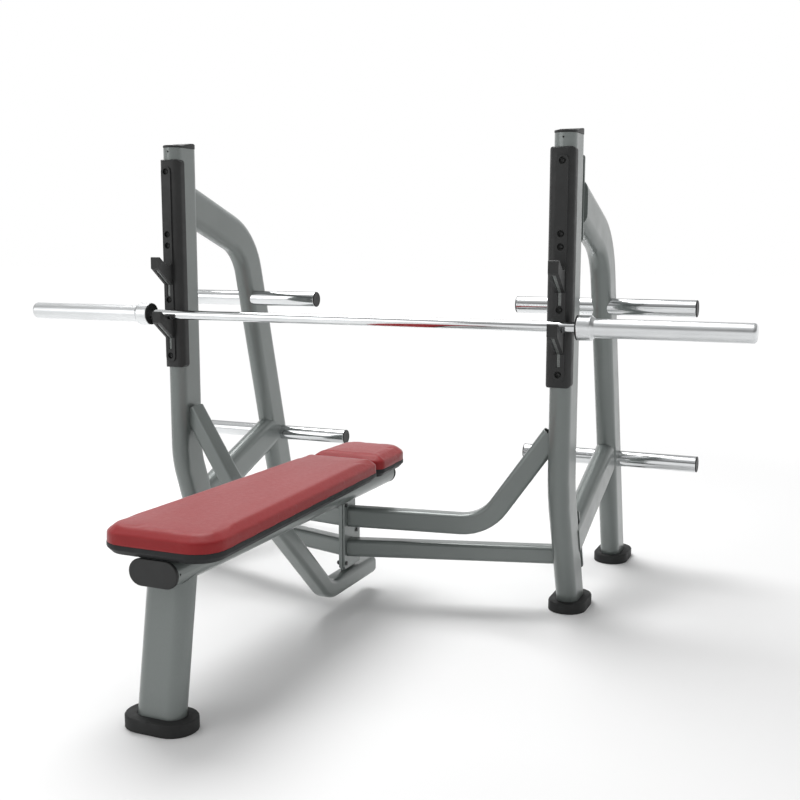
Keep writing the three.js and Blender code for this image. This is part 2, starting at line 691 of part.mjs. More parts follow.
// ---------------------------------------------------------------- pads
// Tapered plan outline with rounded corners; rf and rb are the corner radii at the
// foot end and at the head end.
function padOutline(y0, y1, rf, rb, inset, n = 7) {
  const half = (y) => PAD_HALF - PAD_TAPER * (y + 900) - inset;
  const a = y0 + inset,
    b = y1 - inset;
  const f = Math.max(rf - inset, 4),
    g = Math.max(rb - inset, 4);
  const pts = [];
  const corner = (cx, cy, r, a0) => {
    for (let i = 0; i <= n; i++) {
      const t = rad(a0 + (90 * i) / n);
      pts.push(new THREE.Vector2(cx + r * Math.cos(t), cy + r * Math.sin(t)));
    }
  };
  corner(-half(a + f) + f, a + f, f, 180);
  corner(half(a + f) - f, a + f, f, 270);
  corner(half(b - g) - g, b - g, g, 0);
  corner(-half(b - g) + g, b - g, g, 90);
  return new THREE.Shape(pts);
}
function pad(name, ys, rf, rb) {
  // tray: upright rim over a chamfer that runs in to a flat underside
  const rim = SPLIT_Z - 11;
  let tray = prism(padOutline(ys[0], ys[1], rf, rb, 0), rim, SPLIT_Z);
  const steps = 3;
  for (let i = 0; i < steps; i++) {
    const z1 = rim - ((rim - TRAY_Z) * i) / steps;
    tray = tray.add(prism(padOutline(ys[0], ys[1], rf, rb, (12 * (i + 0.5)) / steps), TRAY_Z, z1 + 0.01));
  }
  part(middle, name + "_tray", tray, TRAYM);
  // cushion: upright side, then a broad roll up to the flat top
  const side = SPLIT_Z + 15;
  let cushion = prism(padOutline(ys[0], ys[1], rf, rb, 0), SPLIT_Z + GAP, side);
  const rolls = 5;
  for (let i = 0; i < rolls; i++) {
    const t1 = (i + 1) / rolls;
    const inset = 26 * (1 - Math.sqrt(1 - Math.pow((i + 0.6) / rolls, 2)));
    cushion = cushion.add(
      prism(padOutline(ys[0], ys[1], rf, rb, inset), SPLIT_Z + GAP, side + (PAD_TOP - side) * t1),
    );
  }
  part(middle, name + "_cushion", cushion, VINYL);
}
pad("main_pad", MAIN_Y, 66, 30);
pad("head_pad", HEAD_Y, 24, 62);

// ---------------------------------------------------------------- barbell
// shaft with a turned-down stub inside each sleeve
part(
  middle,
  "barbell_shaft",
  turnX(
    [
      [-BAR_HALF + 30, 0], [-BAR_HALF + 30, STUB_R], [-COLLAR_X - 2, STUB_R], [-COLLAR_X - 2, BAR_R],
      [COLLAR_X + 2, BAR_R], [COLLAR_X + 2, STUB_R], [BAR_HALF - 30, STUB_R], [BAR_HALF - 30, 0],
    ],
    0, BAR_Z, 40,
  ),
  CHROME,
);
const collarIn = COLLAR_X + 4;
const sleeve = turnX(
  [
    [BAR_HALF - 22, 0], [BAR_HALF - 22, BORE_R], [collarIn, BORE_R],
    [collarIn, COLLAR_R - 1.2], [collarIn + 1.2, COLLAR_R], [collarIn + 34, COLLAR_R], [collarIn + 36, COLLAR_R - 1.5],
    [collarIn + 36.6, COLLAR_R - 4], [collarIn + 44, SLEEVE_R],
    [BAR_HALF - 9, SLEEVE_R], [BAR_HALF - 4.5, SLEEVE_R - 1.2], [BAR_HALF - 1.4, SLEEVE_R - 4.2], [BAR_HALF, SLEEVE_R - 8.5],
    [BAR_HALF, 0],
  ],
  0, BAR_Z, 40,
);
pair("sleeve", sleeve, CHROME);
const ring = turnX(
  [
    [COLLAR_X, BAR_R + 0.5], [COLLAR_X, COLLAR_R - 2], [COLLAR_X + 1.2, COLLAR_R - 0.6],
    [collarIn - GAP, COLLAR_R - 0.6], [collarIn - GAP, BAR_R + 0.5], [COLLAR_X, BAR_R + 0.5],
  ],
  0, BAR_Z, 40,
);
pair("collar_ring", ring, BLACK);

export default root;
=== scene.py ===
import json
import math

import bmesh
import bpy
import numpy as np
from mathutils import Matrix, Vector


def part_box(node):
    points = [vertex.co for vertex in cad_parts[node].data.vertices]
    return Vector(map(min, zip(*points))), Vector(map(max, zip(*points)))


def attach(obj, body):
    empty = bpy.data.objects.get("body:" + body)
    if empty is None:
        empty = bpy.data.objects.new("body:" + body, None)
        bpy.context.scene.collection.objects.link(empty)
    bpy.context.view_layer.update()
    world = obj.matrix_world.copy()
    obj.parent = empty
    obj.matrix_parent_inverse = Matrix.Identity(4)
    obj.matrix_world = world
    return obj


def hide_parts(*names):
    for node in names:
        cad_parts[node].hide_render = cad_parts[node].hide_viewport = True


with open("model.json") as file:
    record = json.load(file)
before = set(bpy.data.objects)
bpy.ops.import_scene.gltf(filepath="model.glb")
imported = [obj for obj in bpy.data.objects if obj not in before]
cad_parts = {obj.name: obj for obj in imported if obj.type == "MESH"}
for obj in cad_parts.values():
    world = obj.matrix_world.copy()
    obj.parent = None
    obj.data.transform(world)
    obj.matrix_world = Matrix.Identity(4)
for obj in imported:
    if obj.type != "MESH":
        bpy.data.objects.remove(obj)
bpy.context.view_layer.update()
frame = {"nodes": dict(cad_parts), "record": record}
NODES = frame["nodes"]
SLOTS = {s["node"]: s["material_slot"] for s in frame["record"]["subparts"]}
BODY = {n: b for b, ns in frame["record"]["behaviour"]["bodies"].items() for n in ns}
scene = bpy.context.scene


def mid(node):
    lo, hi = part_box(node)
    return (lo + hi) / 2


BAR = mid("barbell_shaft")  # the barbell's axis
OY = BAR.y


# ------------------------------------------------------------------ materials
def lin(h):
    c = [int(h[i : i + 2], 16) / 255 for i in (1, 3, 5)]
    return [x / 12.92 if x <= 0.04045 else ((x + 0.055) / 1.055) ** 2.4 for x in c] + [1.0]


class Nodes:
    """A node material with object coordinates in metres."""

    def __init__(self, name):
        self.m = bpy.data.materials.new(name)
        self.m.use_nodes = True
        self.t = self.m.node_tree
        self.t.nodes.clear()
        self.out = self.n("ShaderNodeOutputMaterial")
        self.b = self.n("ShaderNodeBsdfPrincipled")
        self.link(self.b.outputs["BSDF"], self.out.inputs["Surface"])
        self.co = self.n("ShaderNodeTexCoord").outputs["Object"]

    def n(self, kind, **props):
        node = self.t.nodes.new(kind)
        for k, v in props.items():
            setattr(node, k, v)
        return node

    def link(self, a, b):
        self.t.links.new(a, b)

    def noise(self, scale, detail=3.0, rough=0.55, stretch=None, distortion=0.0):
        n = self.n("ShaderNodeTexNoise")
        n.inputs["Scale"].default_value = scale
        n.inputs["Detail"].default_value = detail
        n.inputs["Roughness"].default_value = rough
        n.inputs["Distortion"].default_value = distortion
        co = self.co
        if stretch:
            mp = self.n("ShaderNodeMapping")
            mp.inputs["Scale"].default_value = stretch
            self.link(co, mp.inputs["Vector"])
            co = mp.outputs["Vector"]
        self.link(co, n.inputs["Vector"])
        return n.outputs["Fac"]

    def voronoi(self, scale, feature="F1"):
        n = self.n("ShaderNodeTexVoronoi", feature=feature)
        n.inputs["Scale"].default_value = scale
        self.link(self.co, n.inputs["Vector"])
        return n.outputs["Distance"]

    def ramp(self, fac, stops):
        r = self.n("ShaderNodeValToRGB")
        while len(r.color_ramp.elements) < len(stops):
            r.color_ramp.elements.new(0.5)
        for e, (p, c) in zip(r.color_ramp.elements, stops):
            e.position, e.color = p, c
        self.link(fac, r.inputs["Fac"])
        return r.outputs["Color"]

    def mix(self, fac, a, b, blend="MIX"):
        m = self.n("ShaderNodeMix", data_type="RGBA", blend_type=blend)
        for socket, v in (("Factor", fac), ("A", a), ("B", b)):
            s = [i for i in m.inputs if i.name == socket and (i.type == "RGBA" or socket == "Factor") and i.enabled][0]
            if hasattr(v, "is_linked"):
                self.link(v, s)
            else:
                s.default_value = v
        return [o for o in m.outputs if o.type == "RGBA" and o.enabled][0]

    def span(self, v, lo, hi, a=0.3, b=0.7):
        r = self.n("ShaderNodeMapRange")
        r.inputs["From Min"].default_value = a
        r.inputs["From Max"].default_value = b
        r.inputs["To Min"].default_value = lo
        r.inputs["To Max"].default_value = hi
        self.link(v, r.inputs["Value"])
        return r.outputs["Result"]

    def bump(self, height, strength, distance, normal=None):
        b = self.n("ShaderNodeBump")
        b.inputs["Strength"].default_value = strength
        b.inputs["Distance"].default_value = distance
        self.link(height, b.inputs["Height"])
        if normal:
            self.link(normal, b.inputs["Normal"])
        return b.outputs["Normal"]

    def set(self, **kw):
        for k, v in kw.items():
            s = self.b.inputs[k.replace("_", " ")]
            if hasattr(v, "is_linked"):
                self.link(v, s)
            else:
                s.default_value = v
        return self.m


def paint(name, dark, light, rough=(0.29, 0.38)):
    # powder-coated steel: broad tone drift, fine metallic fleck, slight orange peel
    k = Nodes(name)
    drift = k.ramp(k.noise(2.2, 2.0), [(0.35, lin(dark)), (0.65, lin(light))])
    fleck = k.ramp(k.noise(1400.0, 1.0, 0.4), [(0.42, (0.86, 0.86, 0.86, 1)), (0.6, (1.12, 1.12, 1.12, 1))])
    colour = k.mix(0.55, drift, fleck, "MULTIPLY")
    peel = k.bump(k.noise(260.0, 2.0), 0.10, 0.0004)
    return k.set(
        Base_Color=colour,
        Metallic=0.28,
        Roughness=k.span(k.noise(14.0, 4.0), *rough),
        Normal=peel,
        Coat_Weight=0.34,
        Coat_Roughness=0.12,
    )


def plastic(name, dark, light, rough=(0.42, 0.56), grain=900.0, strength=0.16, distance=0.00012, specular=0.4):
    k = Nodes(name)
    colour = k.ramp(k.noise(9.0, 5.0), [(0.3, lin(dark)), (0.72, lin(light))])
    fine = k.bump(k.noise(grain, 3.0, 0.6), strength, distance)
    return k.set(Base_Color=colour, Roughness=k.span(k.noise(40.0, 5.0), *rough), Normal=fine, Specular_IOR_Level=specular)


def chrome(name, rough=(0.05, 0.12), tint="#dfe1e2"):
    # hard chrome with faint lengthwise polishing marks
    k = Nodes(name)
    tone = k.ramp(k.noise(30.0, 4.0, stretch=(0.12, 1, 1)), [(0.3, lin("#cfd1d2")), (0.7, lin(tint))])
    marks = k.noise(420.0, 3.0, stretch=(0.04, 1, 1))
    return k.set(
        Base_Color=tone,
        Metallic=1.0,
        Roughness=k.span(k.noise(60.0, 4.0, stretch=(0.1, 1, 1)), *rough),
        Normal=k.bump(marks, 0.025, 0.0001),
    )


def steel(name):
    k = Nodes(name)
    tone = k.ramp(k.noise(300.0, 3.0, stretch=(1, 0.05, 1)), [(0.3, lin("#5c5f5e")), (0.7, lin("#7c7f7d"))])
    return k.set(
        Base_Color=tone, Metallic=0.7, Roughness=k.span(k.noise(80.0), 0.38, 0.5),
        Normal=k.bump(k.noise(600.0, 2.0, stretch=(1, 0.06, 1)), 0.08, 0.0002),
    )


def vinyl(name):
    # upholstery vinyl: pebbled leather grain, slight mottling, soft sheen
    k = Nodes(name)
    mottled = k.ramp(k.noise(26.0, 6.0, 0.6), [(0.3, lin("#8b2023")), (0.7, lin("#8e2225"))])
    cells = k.voronoi(620.0, "SMOOTH_F1")
    valley = k.ramp(cells, [(0.30, (1, 1, 1, 1)), (0.75, (0.84, 0.82, 0.82, 1))])
    speck = k.ramp(k.noise(1500.0, 2.0, 0.7), [(0.40, (0.88, 0.87, 0.87, 1)), (0.62, (1.10, 1.08, 1.08, 1))])
    colour = k.mix(0.6, k.mix(0.5, mottled, valley, "MULTIPLY"), speck, "MULTIPLY")
    grain = k.bump(cells, 0.34, -0.00035)
    fine = k.bump(k.noise(1800.0, 3.0), 0.12, 0.0001, grain)
    return k.set(
        Base_Color=colour, Roughness=k.span(k.noise(90.0, 4.0), 0.44, 0.54), Normal=fine,
        Sheen_Weight=0.34, Sheen_Roughness=0.32, Specular_IOR_Level=0.24,
    )


MAT = {
    "frame_paint": paint("frame_paint", "#6c7270", "#757b79"),
    "black_plastic": plastic("black_plastic", "#1c1d1d", "#232424"),
    "foot_rubber": plastic("foot_rubber", "#1b1c1c", "#242525", (0.6, 0.75), 500.0, 0.3, 0.0002),
    "chrome": chrome("chrome"),
    "hook_steel": steel("hook_steel"),
    "red_vinyl": vinyl("red_vinyl"),
    "pad_tray": plastic("pad_tray", "#1d1e1f", "#242526", (0.5, 0.62), 700.0, 0.2, 0.00015, 0.26),
    "bolt_black": plastic("bolt_black", "#131414", "#1c1d1d", (0.3, 0.42), 400.0, 0.05, 0.0001),
    "bar_chrome": chrome("bar_chrome", (0.04, 0.10), "#e4e6e7"),
    "satin_chrome": chrome("satin_chrome", (0.27, 0.33), "#e6e8e9"),
}


# ------------------------------------------------------------------ mesh helpers
def add(name, mesh, slot, body, replaces=(), material=None):
    o = bpy.data.objects.new(name, mesh)
    scene.collection.objects.link(o)
    o.data.materials.clear()
    o.data.materials.append(MAT[material or slot])
    for p in o.data.polygons:
        p.use_smooth = True
        p.material_index = 0
    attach(o, body)
    if replaces:
        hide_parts(*replaces)
    return o


def from_bmesh(name, bm):
    bmesh.ops.recalc_face_normals(bm, faces=bm.faces)
    me = bpy.data.meshes.new(name)
    bm.to_mesh(me)
    bm.free()
    return me


def round_edges(o, width, angle=34.0, segments=2):
    b = o.modifiers.new("edge", "BEVEL")
    b.width, b.segments = width, segments
    b.limit_method, b.angle_limit = "ANGLE", math.radians(angle)
    b.use_clamp_overlap = True
    b.harden_normals = False
    b.miter_outer = "MITER_ARC"
    w = o.modifiers.new("normals", "WEIGHTED_NORMAL")
    w.mode, w.weight, w.keep_sharp = "FACE_AREA_WITH_ANGLE", 60, True


def skin(node, width=0.0009, angle=34.0, segments=2, material=None):
    """A finished shell in place of a CAD node: its faces cleaned, then its edges rounded."""
    bm = bmesh.new()
    bm.from_mesh(NODES[node].data)
    bmesh.ops.remove_doubles(bm, verts=bm.verts, dist=4e-6)
    bmesh.ops.dissolve_limit(bm, angle_limit=math.radians(0.4), verts=bm.verts, edges=bm.edges)
    bmesh.ops.dissolve_degenerate(bm, edges=bm.edges, dist=1e-6)
    bmesh.ops.recalc_face_normals(bm, faces=bm.faces)
    for e in bm.edges:
        if len(e.link_faces) == 2 and e.calc_face_angle(0) > math.radians(angle):
            e.smooth = False
    me = bpy.data.meshes.new(node + "_shell")
    bm.to_mesh(me)
    bm.free()
    o = add(node + "_shell", me, SLOTS[node], BODY[node], [node], material)
    if width:
        round_edges(o, width, angle, segments)
    return o


def lathe_x(name, profile, centre, slot, node, material=None, segments=72, sharp=30.0):
    """A round piece about an axis parallel to X. profile is a list of (x, radius) in metres."""
    bm = bmesh.new()
    rings = []
    for x, r in profile:
        if r < 1e-7:
            rings.append([bm.verts.new((x, centre[0], centre[1]))])
        else:
            rings.append([
                bm.verts.new((x, centre[0] + r * math.cos(a), centre[1] + r * math.sin(a)))
                for a in (2 * math.pi * i / segments for i in range(segments))
            ])
    for a, b in zip(rings, rings[1:]):
        for i in range(segments):
            j = (i + 1) % segments
            face = [a[i % len(a)], a[j % len(a)], b[j % len(b)], b[i % len(b)]]
            seen = []
            for v in face:
                if v not in seen:
                    seen.append(v)
            if len(seen) > 2:
                bm.faces.new(seen)
    bmesh.ops.remove_doubles(bm, verts=bm.verts, dist=1e-7)
    me = from_bmesh(name, bm)
    o = add(name, me, slot, BODY[node], [node], material)
    round_edges(o, 0.0006, sharp, 2)
    return o


# ------------------------------------------------------------------ painted frame, plastic and rubber
for side in ("left", "right"):
    for node, w in (
        ("upright", 0.0006), ("rear_tube", 0.0006), ("brace_tube", 0.0006), ("rear_mount_plate", 0.0012),
        ("brace_plate", 0.0012), ("upper_crossbeam", 0.0006), ("lower_crossbeam", 0.0006), ("splice_plate", 0.0008),
    ):
        skin(f"{node}_{side}", w)
    skin(f"upright_cap_{side}", 0.0016, segments=3)
    skin(f"upright_foot_{side}", 0.002, segments=3)
    skin(f"rear_foot_{side}", 0.002, segments=3)
    skin(f"hook_cover_{side}", 0.0013, segments=3)
    skin(f"hook_core_upper_{side}", 0.0006)
    skin(f"hook_core_lower_{side}", 0.0006)
for node, w in (("centre_plate", 0.0008), ("bench_beam", 0.0006), ("front_leg", 0.0006), ("bench_strut", 0.0006)):
    skin(node, w)
skin("front_foot", 0.002, segments=3)
skin("beam_cap_front", 0.0014, segments=3)
skin("beam_cap_rear", 0.0014, segments=3)
for i in (1, 2, 3):
    skin(f"splice_bolt_{i}", 0.0006)


def close_mouth(node, co, no, reach, thick=0.0022, inset=0.0012):
    """Closes a hollow tube's mouth with a flat plate just inside its end, cut to the tube's own section on the plane."""
    bm = bmesh.new()
    bm.from_mesh(NODES[node].data)
    cut = bmesh.ops.bisect_plane(bm, geom=bm.verts[:] + bm.edges[:] + bm.faces[:], plane_co=co, plane_no=no)
    pts = [v.co.copy() for v in cut["geom_cut"] if isinstance(v, bmesh.types.BMVert) and (v.co - co).length < reach]
    bm.free()
    c = sum(pts, Vector()) / len(pts)
    u = Vector((1, 0, 0))
    w = no.cross(u).normalized()
    # outermost point in each direction round the section
    n = 48
    best = [None] * n
    for p in pts:
        d = p - c
        i = int((math.atan2(d.dot(w), d.dot(u)) / (2 * math.pi) % 1) * n) % n
        if best[i] is None or d.length > best[i].length:
            best[i] = d
    ring = [d for d in best if d]
    bm = bmesh.new()
    loops = []
    for along, k in ((-thick / 2, inset + 0.0004), (-thick / 2 + 0.0004, inset), (thick / 2, inset)):
        loops.append([bm.verts.new(c + no * along + d * (1 - k / d.length)) for d in ring])
    for a, b in zip(loops, loops[1:]):
        for i in range(len(ring)):
            j = (i + 1) % len(ring)
            bm.faces.new((a[i], a[j], b[j], b[i]))
    bm.faces.new(loops[0])
    bm.faces.new(loops[-1])
    o = add(node + "_end_plate", from_bmesh(node + "_end_plate", bm), "frame_paint", BODY[node])
    o.modifiers.new("normals", "WEIGHTED_NORMAL").weight = 60


def back_face(plate):
    """A point on a plate's rear face and its normal, pointing to the rear."""
    big = max(NODES[plate].data.polygons, key=lambda p: p.area)
    no = big.normal.copy()
    if no.y < 0:
        no = -no
    verts = [v.co for v in NODES[plate].data.vertices]
    top = max(v.dot(no) for v in verts)
    c = sum(verts, Vector()) / len(verts)
    return c + no * (top - c.dot(no)), no


for side in ("left", "right"):
    for tube, plate in (("rear_tube", "rear_mount_plate"), ("brace_tube", "brace_plate")):
        p, no = back_face(f"{plate}_{side}")
        close_mouth(f"{tube}_{side}", p + no * 0.0018, no, 0.16)

# ------------------------------------------------------------------ chrome pegs with pressed-in end plugs
for level in ("upper", "lower"):
    for side in ("left", "right"):
        sign = -1 if side == "left" else 1
        tube = f"peg_{level}_{side}"
        lo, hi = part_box(tube)
        c = (mid(tube).y, mid(tube).z)
        r = 0.025
        lathe_x(tube + "_chrome", [
            (lo.x, r - 0.003), (lo.x, r - 0.0011), (lo.x + 0.0004, r - 0.0004), (lo.x + 0.0012, r),
            ((lo.x + hi.x) / 2, r),
            (hi.x - 0.0012, r), (hi.x - 0.0004, r - 0.0004), (hi.x, r - 0.0011), (hi.x, r - 0.003),
            (lo.x, r - 0.003),
        ], c, "chrome", tube, sharp=50)
        for end in ("inner", "outer"):
            node = f"peg_{level}_{end}_cap_{side}"
            a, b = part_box(node)
            outward = (sign if end == "outer" else -sign) > 0
            face, back = (b.x, a.x) if outward else (a.x, b.x)
            s = 1 if outward else -1
            lathe_x(node + "_plug", [
                (face - s * 0.0006, 0), (face - s * 0.0006, r - 0.0062), (face, r - 0.0050), (face, r - 0.0022),
                (face - s * 0.0007, r - 0.0009), (face - s * 0.0018, r - 0.0003), (face - s * 0.0030, r - 0.0003),
                (face - s * 0.0030, r - 0.0036), (back + s * 0.001, r - 0.0042), (back, r - 0.0052), (back, 0),
            ], c, "black_plastic", node, segments=56)

# ------------------------------------------------------------------ barbell
lo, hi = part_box("barbell_shaft")
BC = (BAR.y, BAR.z)
R = 0.014
shoulder = 0.658
lathe_x("barbell_shaft_chrome", [
    (lo.x, 0), (lo.x, 0.0118), (lo.x + 0.001, 0.01262), (-shoulder, 0.01262), (-shoulder, R - 0.0008), (-shoulder + 0.0008, R),
    (-0.33, R), (0, R), (0.33, R),
    (shoulder - 0.0008, R), (shoulder, R - 0.0008), (shoulder, 0.01262), (hi.x - 0.001, 0.01262), (hi.x, 0.0118), (hi.x, 0),
], BC, "chrome", "barbell_shaft", "bar_chrome", segments=64, sharp=50)
for side in ("left", "right"):
    s = -1 if side == "left" else 1
    a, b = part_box(f"sleeve_{side}")
    inner, outer = (a.x, b.x) if s > 0 else (b.x, a.x)
    CR, SR, BR = 0.033, 0.025, 0.0127
    prof = [(outer - s * 0.022, 0), (outer - s * 0.022, BR), (inner + s * 0.001, BR), (inner, BR + 0.001)]
    prof += [(inner, CR - 0.0018), (inner + s * 0.0005, CR - 0.0006), (inner + s * 0.0016, CR)]
    prof += [(inner + s * 0.0335, CR), (inner + s * 0.0352, CR - 0.0004), (inner + s * 0.0366, CR - 0.0016), (inner + s * 0.0374, CR - 0.0034)]
    prof += [(inner + s * 0.0424, SR + 0.0014), (inner + s * 0.0436, SR + 0.0003), (inner + s * 0.045, SR)]
    prof += [(inner + s * 0.20, SR)]
    for i in range(9):
        t = math.radians(90 * i / 8)
        prof.append((outer - s * 0.0095 * (1 - math.sin(t)), SR - 0.0095 * (1 - math.cos(t))))
    prof += [(outer + s * 0.0, 0)]
    lathe_x(f"sleeve_{side}_chrome", prof, BC, "chrome", f"sleeve_{side}", "satin_chrome", segments=80, sharp=60)
    a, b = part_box(f"collar_ring_{side}")
    face, back = (a.x, b.x) if s > 0 else (b.x, a.x)
    lathe_x(f"collar_ring_{side}_seal", [
        (back, 0.0145), (face + s * 0.0004, 0.0145), (face, 0.0149), (face, 0.0205), (face + s * 0.0006, 0.0212), (face + s * 0.0006, 0.0285),
        (face, 0.0292), (face, 0.0306), (face + s * 0.0008, 0.0320), (face + s * 0.002, 0.0324), (back, 0.0324), (back, 0.0145),
    ], BC, "black_plastic", f"collar_ring_{side}", segments=64)


# ------------------------------------------------------------------ pads
PAD_HALF, PAD_TAPER = 0.147, 0.039


def outline(y0, y1, rf, rb, inset, n=9, m=14):
    """Tapered plan outline with rounded corners, as evenly walked points (x, y)."""
    half = lambda y: PAD_HALF - PAD_TAPER * (y - OY + 0.9) - inset
    a, b = y0 + inset, y1 - inset
    f, g = max(rf - inset, 0.006), max(rb - inset, 0.006)
    pts = []

    def corner(cx, cy, r, a0):
        for i in range(n + 1):
            t = math.radians(a0 + 90 * i / n)
            pts.append((cx + r * math.cos(t), cy + r * math.sin(t)))

    def run(p, q, k):
        for i in range(1, k):
            u = i / k
            pts.append((p[0] + (q[0] - p[0]) * u, p[1] + (q[1] - p[1]) * u))

    corner(-half(a + f) + f, a + f, f, 180)
    run(pts[-1], (half(a + f) - f, a), m // 2)
    corner(half(a + f) - f, a + f, f, 270)
    run(pts[-1], (half(b - g), b - g), m)
    corner(half(b - g) - g, b - g, g, 0)
    run(pts[-1], (-half(b - g) + g, b), m // 2)
    corner(-half(b - g) + g, b - g, g, 90)
    run(pts[-1], (-half(a + f), a + f), m)
    return pts


def loft(name, rings, slot, node, material=None):
    """A closed form through a stack of (inset outline, z) rings; the ends are filled."""
    bm = bmesh.new()
    made = [[bm.verts.new((x, y, z)) for x, y in pts] for pts, z in rings]
    n = len(made[0])
    for a, b in zip(made, made[1:]):
        for i in range(n):
            j = (i + 1) % n
            bm.faces.new((a[i], a[j], b[j], b[i]))
    for ring in (made[0], made[-1]):
        bm.faces.new(ring)
    return from_bmesh(name, bm)


def blow_up(o, pinned_below, cap, voxel=0.005, pressure=4.0):
    """Inflates a closed form as cloth, its underside held, and limits how far any point moves."""
    r = o.modifiers.new("r", "REMESH")
    r.mode, r.voxel_size, r.use_smooth_shade = "VOXEL", voxel, True
    dg = bpy.context.evaluated_depsgraph_get()
    me = bpy.data.meshes.new_from_object(o.evaluated_get(dg))
    o.modifiers.clear()
    bm = bmesh.new()
    bm.from_mesh(me)
    for _ in range(1):
        bmesh.ops.smooth_vert(bm, verts=[v for v in bm.verts if v.co.z > pinned_below], factor=0.5,
                              use_axis_x=True, use_axis_y=True, use_axis_z=True)
    bm.to_mesh(me)
    bm.free()
    o.data = me
    g = o.vertex_groups.new(name="pin")
    rest = np.zeros(len(me.vertices) * 3)
    me.vertices.foreach_get("co", rest)
    rest = rest.reshape(-1, 3)
    g.add([int(i) for i in np.nonzero(rest[:, 2] < pinned_below)[0]], 1.0, "REPLACE")
    c = o.modifiers.new("c", "CLOTH")
    s = c.settings
    s.quality, s.mass = 5, 0.3
    s.tension_stiffness = s.compression_stiffness = 25
    s.shear_stiffness, s.bending_stiffness = 12, 1.5
    s.use_pressure, s.uniform_pressure_force = True, pressure
    s.vertex_group_mass = "pin"
    s.effector_weights.gravity = 0
    c.collision_settings.use_collision = False
    for f in range(1, 21):
        scene.frame_set(f)
    dg = bpy.context.evaluated_depsgraph_get()
    out = o.evaluated_get(dg).to_mesh()
    now = np.zeros(len(rest) * 3)
    out.vertices.foreach_get("co", now)
    now = now.reshape(-1, 3)
    move = now - rest
    length = np.linalg.norm(move, axis=1, keepdims=True)
    move *= np.where(length > 1e-9, cap * np.tanh(length / cap) / np.maximum(length, 1e-9), 0)
    o.modifiers.clear()
    scene.frame_set(1)
    me.vertices.foreach_set("co", (rest + move).ravel())
    me.update()
    bm = bmesh.new()
    bm.from_mesh(me)
    for _ in range(1):
        bmesh.ops.smooth_vert(bm, verts=[v for v in bm.verts if v.co.z > pinned_below], factor=0.5,
                              use_axis_x=True, use_axis_y=True, use_axis_z=True)
    bm.to_mesh(me)
    bm.free()
    me.materials.clear()
    me.materials.append(MAT["red_vinyl"])
    for p in me.polygons:
        p.use_smooth, p.material_index = True, 0


def pad(name, rf, rb, roll=0.034):
    lo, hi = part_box(name + "_cushion")
    y0, y1, base, top = lo.y, hi.y, lo.z, hi.z
    ring = lambda inset, z: (outline(y0, y1, rf, rb, inset), z)
    rings = [ring(0.020, base - 0.004), ring(0.0012, base - 0.004), ring(0.0006, base - 0.002), ring(0.0002, base + 0.004)]
    # upright side, a fold into a sloping shoulder, then a softer fold on to the crowned top
    line = [(0.0002, base + 0.004), (-0.0002, base + 0.0215), (0.0205, top - 0.0024), (0.060, top - 0.0010)]
    trims = (0.0030, 0.0045)
    for k, trim in zip((1, 2), trims):
        p, q, r = (Vector(line[k - 1]), Vector(line[k]), Vector(line[k + 1]))
        u, v = q + (p - q).normalized() * trim, q + (r - q).normalized() * trim
        for i in range(6):
            t = i / 5
            w = u * (1 - t) ** 2 + q * 2 * t * (1 - t) + v * t * t
            rings.append(ring(w.x, w.y))
    rings += [ring(roll + 0.012, top - 0.0018), ring(roll + 0.03, top - 0.0011), ring(roll + 0.05, top - 0.0007)]
    o = add(name + "_upholstery", loft(name, rings, "red_vinyl", name), "red_vinyl", BODY[name + "_cushion"], [name + "_cushion"])
    blow_up(o, base + 0.0015, 0.0013, voxel=0.0036)
    sub = o.modifiers.new("sub", "SUBSURF")
    sub.levels = sub.render_levels = 1
    # moulded tray: upright lip, chamfer running in to a flat underside
    lo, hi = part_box(name + "_tray")
    b, t = lo.z, hi.z
    rim = t - 0.011
    ring = lambda inset, z: (outline(y0, y1, rf, rb, inset), z)
    rings = [ring(0.03, b), ring(0.0135, b), ring(0.0118, b + 0.0004), ring(0.0108, b + 0.0013)]
    rings += [ring(0.0026, rim - 0.0022), ring(0.0010, rim - 0.0008), ring(0.0002, rim + 0.0008), ring(0, rim + 0.0025)]
    rings += [ring(0, t - 0.0022), ring(0.0003, t - 0.0011), ring(0.0012, t - 0.0002), ring(0.0024, t), ring(0.03, t)]
    o = add(name + "_shell", loft(name + "_t", rings, "pad_tray", name), "pad_tray", BODY[name + "_tray"], [name + "_tray"])
    w = o.modifiers.new("normals", "WEIGHTED_NORMAL")
    w.weight = 60


pad("main_pad", 0.066, 0.030)
pad("head_pad", 0.024, 0.062)


# ------------------------------------------------------------------ small fittings
def screw(name, place, normal, body, r=0.0023):
    """A sunk set screw with a hexagon socket, its face a little below the hole's mouth."""
    bm = bmesh.new()
    prof = [(0.0, 0.00045, 6), (0.0011, 0.00045, 6), (0.0011, 0.0, 6), (r * 0.86, 0.0, 24), (r, -0.0003, 24), (r, -0.003, 24), (0.0, -0.003, 24)]
    n = 24
    rings = []
    for rad, h, k in prof:
        h = -0.0012 if h > 0 else h
        ring = []
        for i in range(n):
            a = 2 * math.pi * i / n
            q = rad
            if k == 6 and rad > 0:
                s = (a % (math.pi / 3)) - math.pi / 6
                q = rad * math.cos(math.pi / 6) / math.cos(s)
            ring.append(bm.verts.new((q * math.cos(a), q * math.sin(a), h)))
        rings.append(ring)
    for a, b in zip(rings, rings[1:]):
        for i in range(n):
            j = (i + 1) % n
            bm.faces.new((a[i], a[j], b[j], b[i]))
    bmesh.ops.remove_doubles(bm, verts=bm.verts, dist=1e-7)
    q = Vector(normal).to_track_quat("Z", "Y").to_matrix().to_4x4()
    bmesh.ops.transform(bm, matrix=Matrix.Translation(place) @ q, verts=bm.verts)
    return add(name, from_bmesh(name, bm), "bolt_black", body)


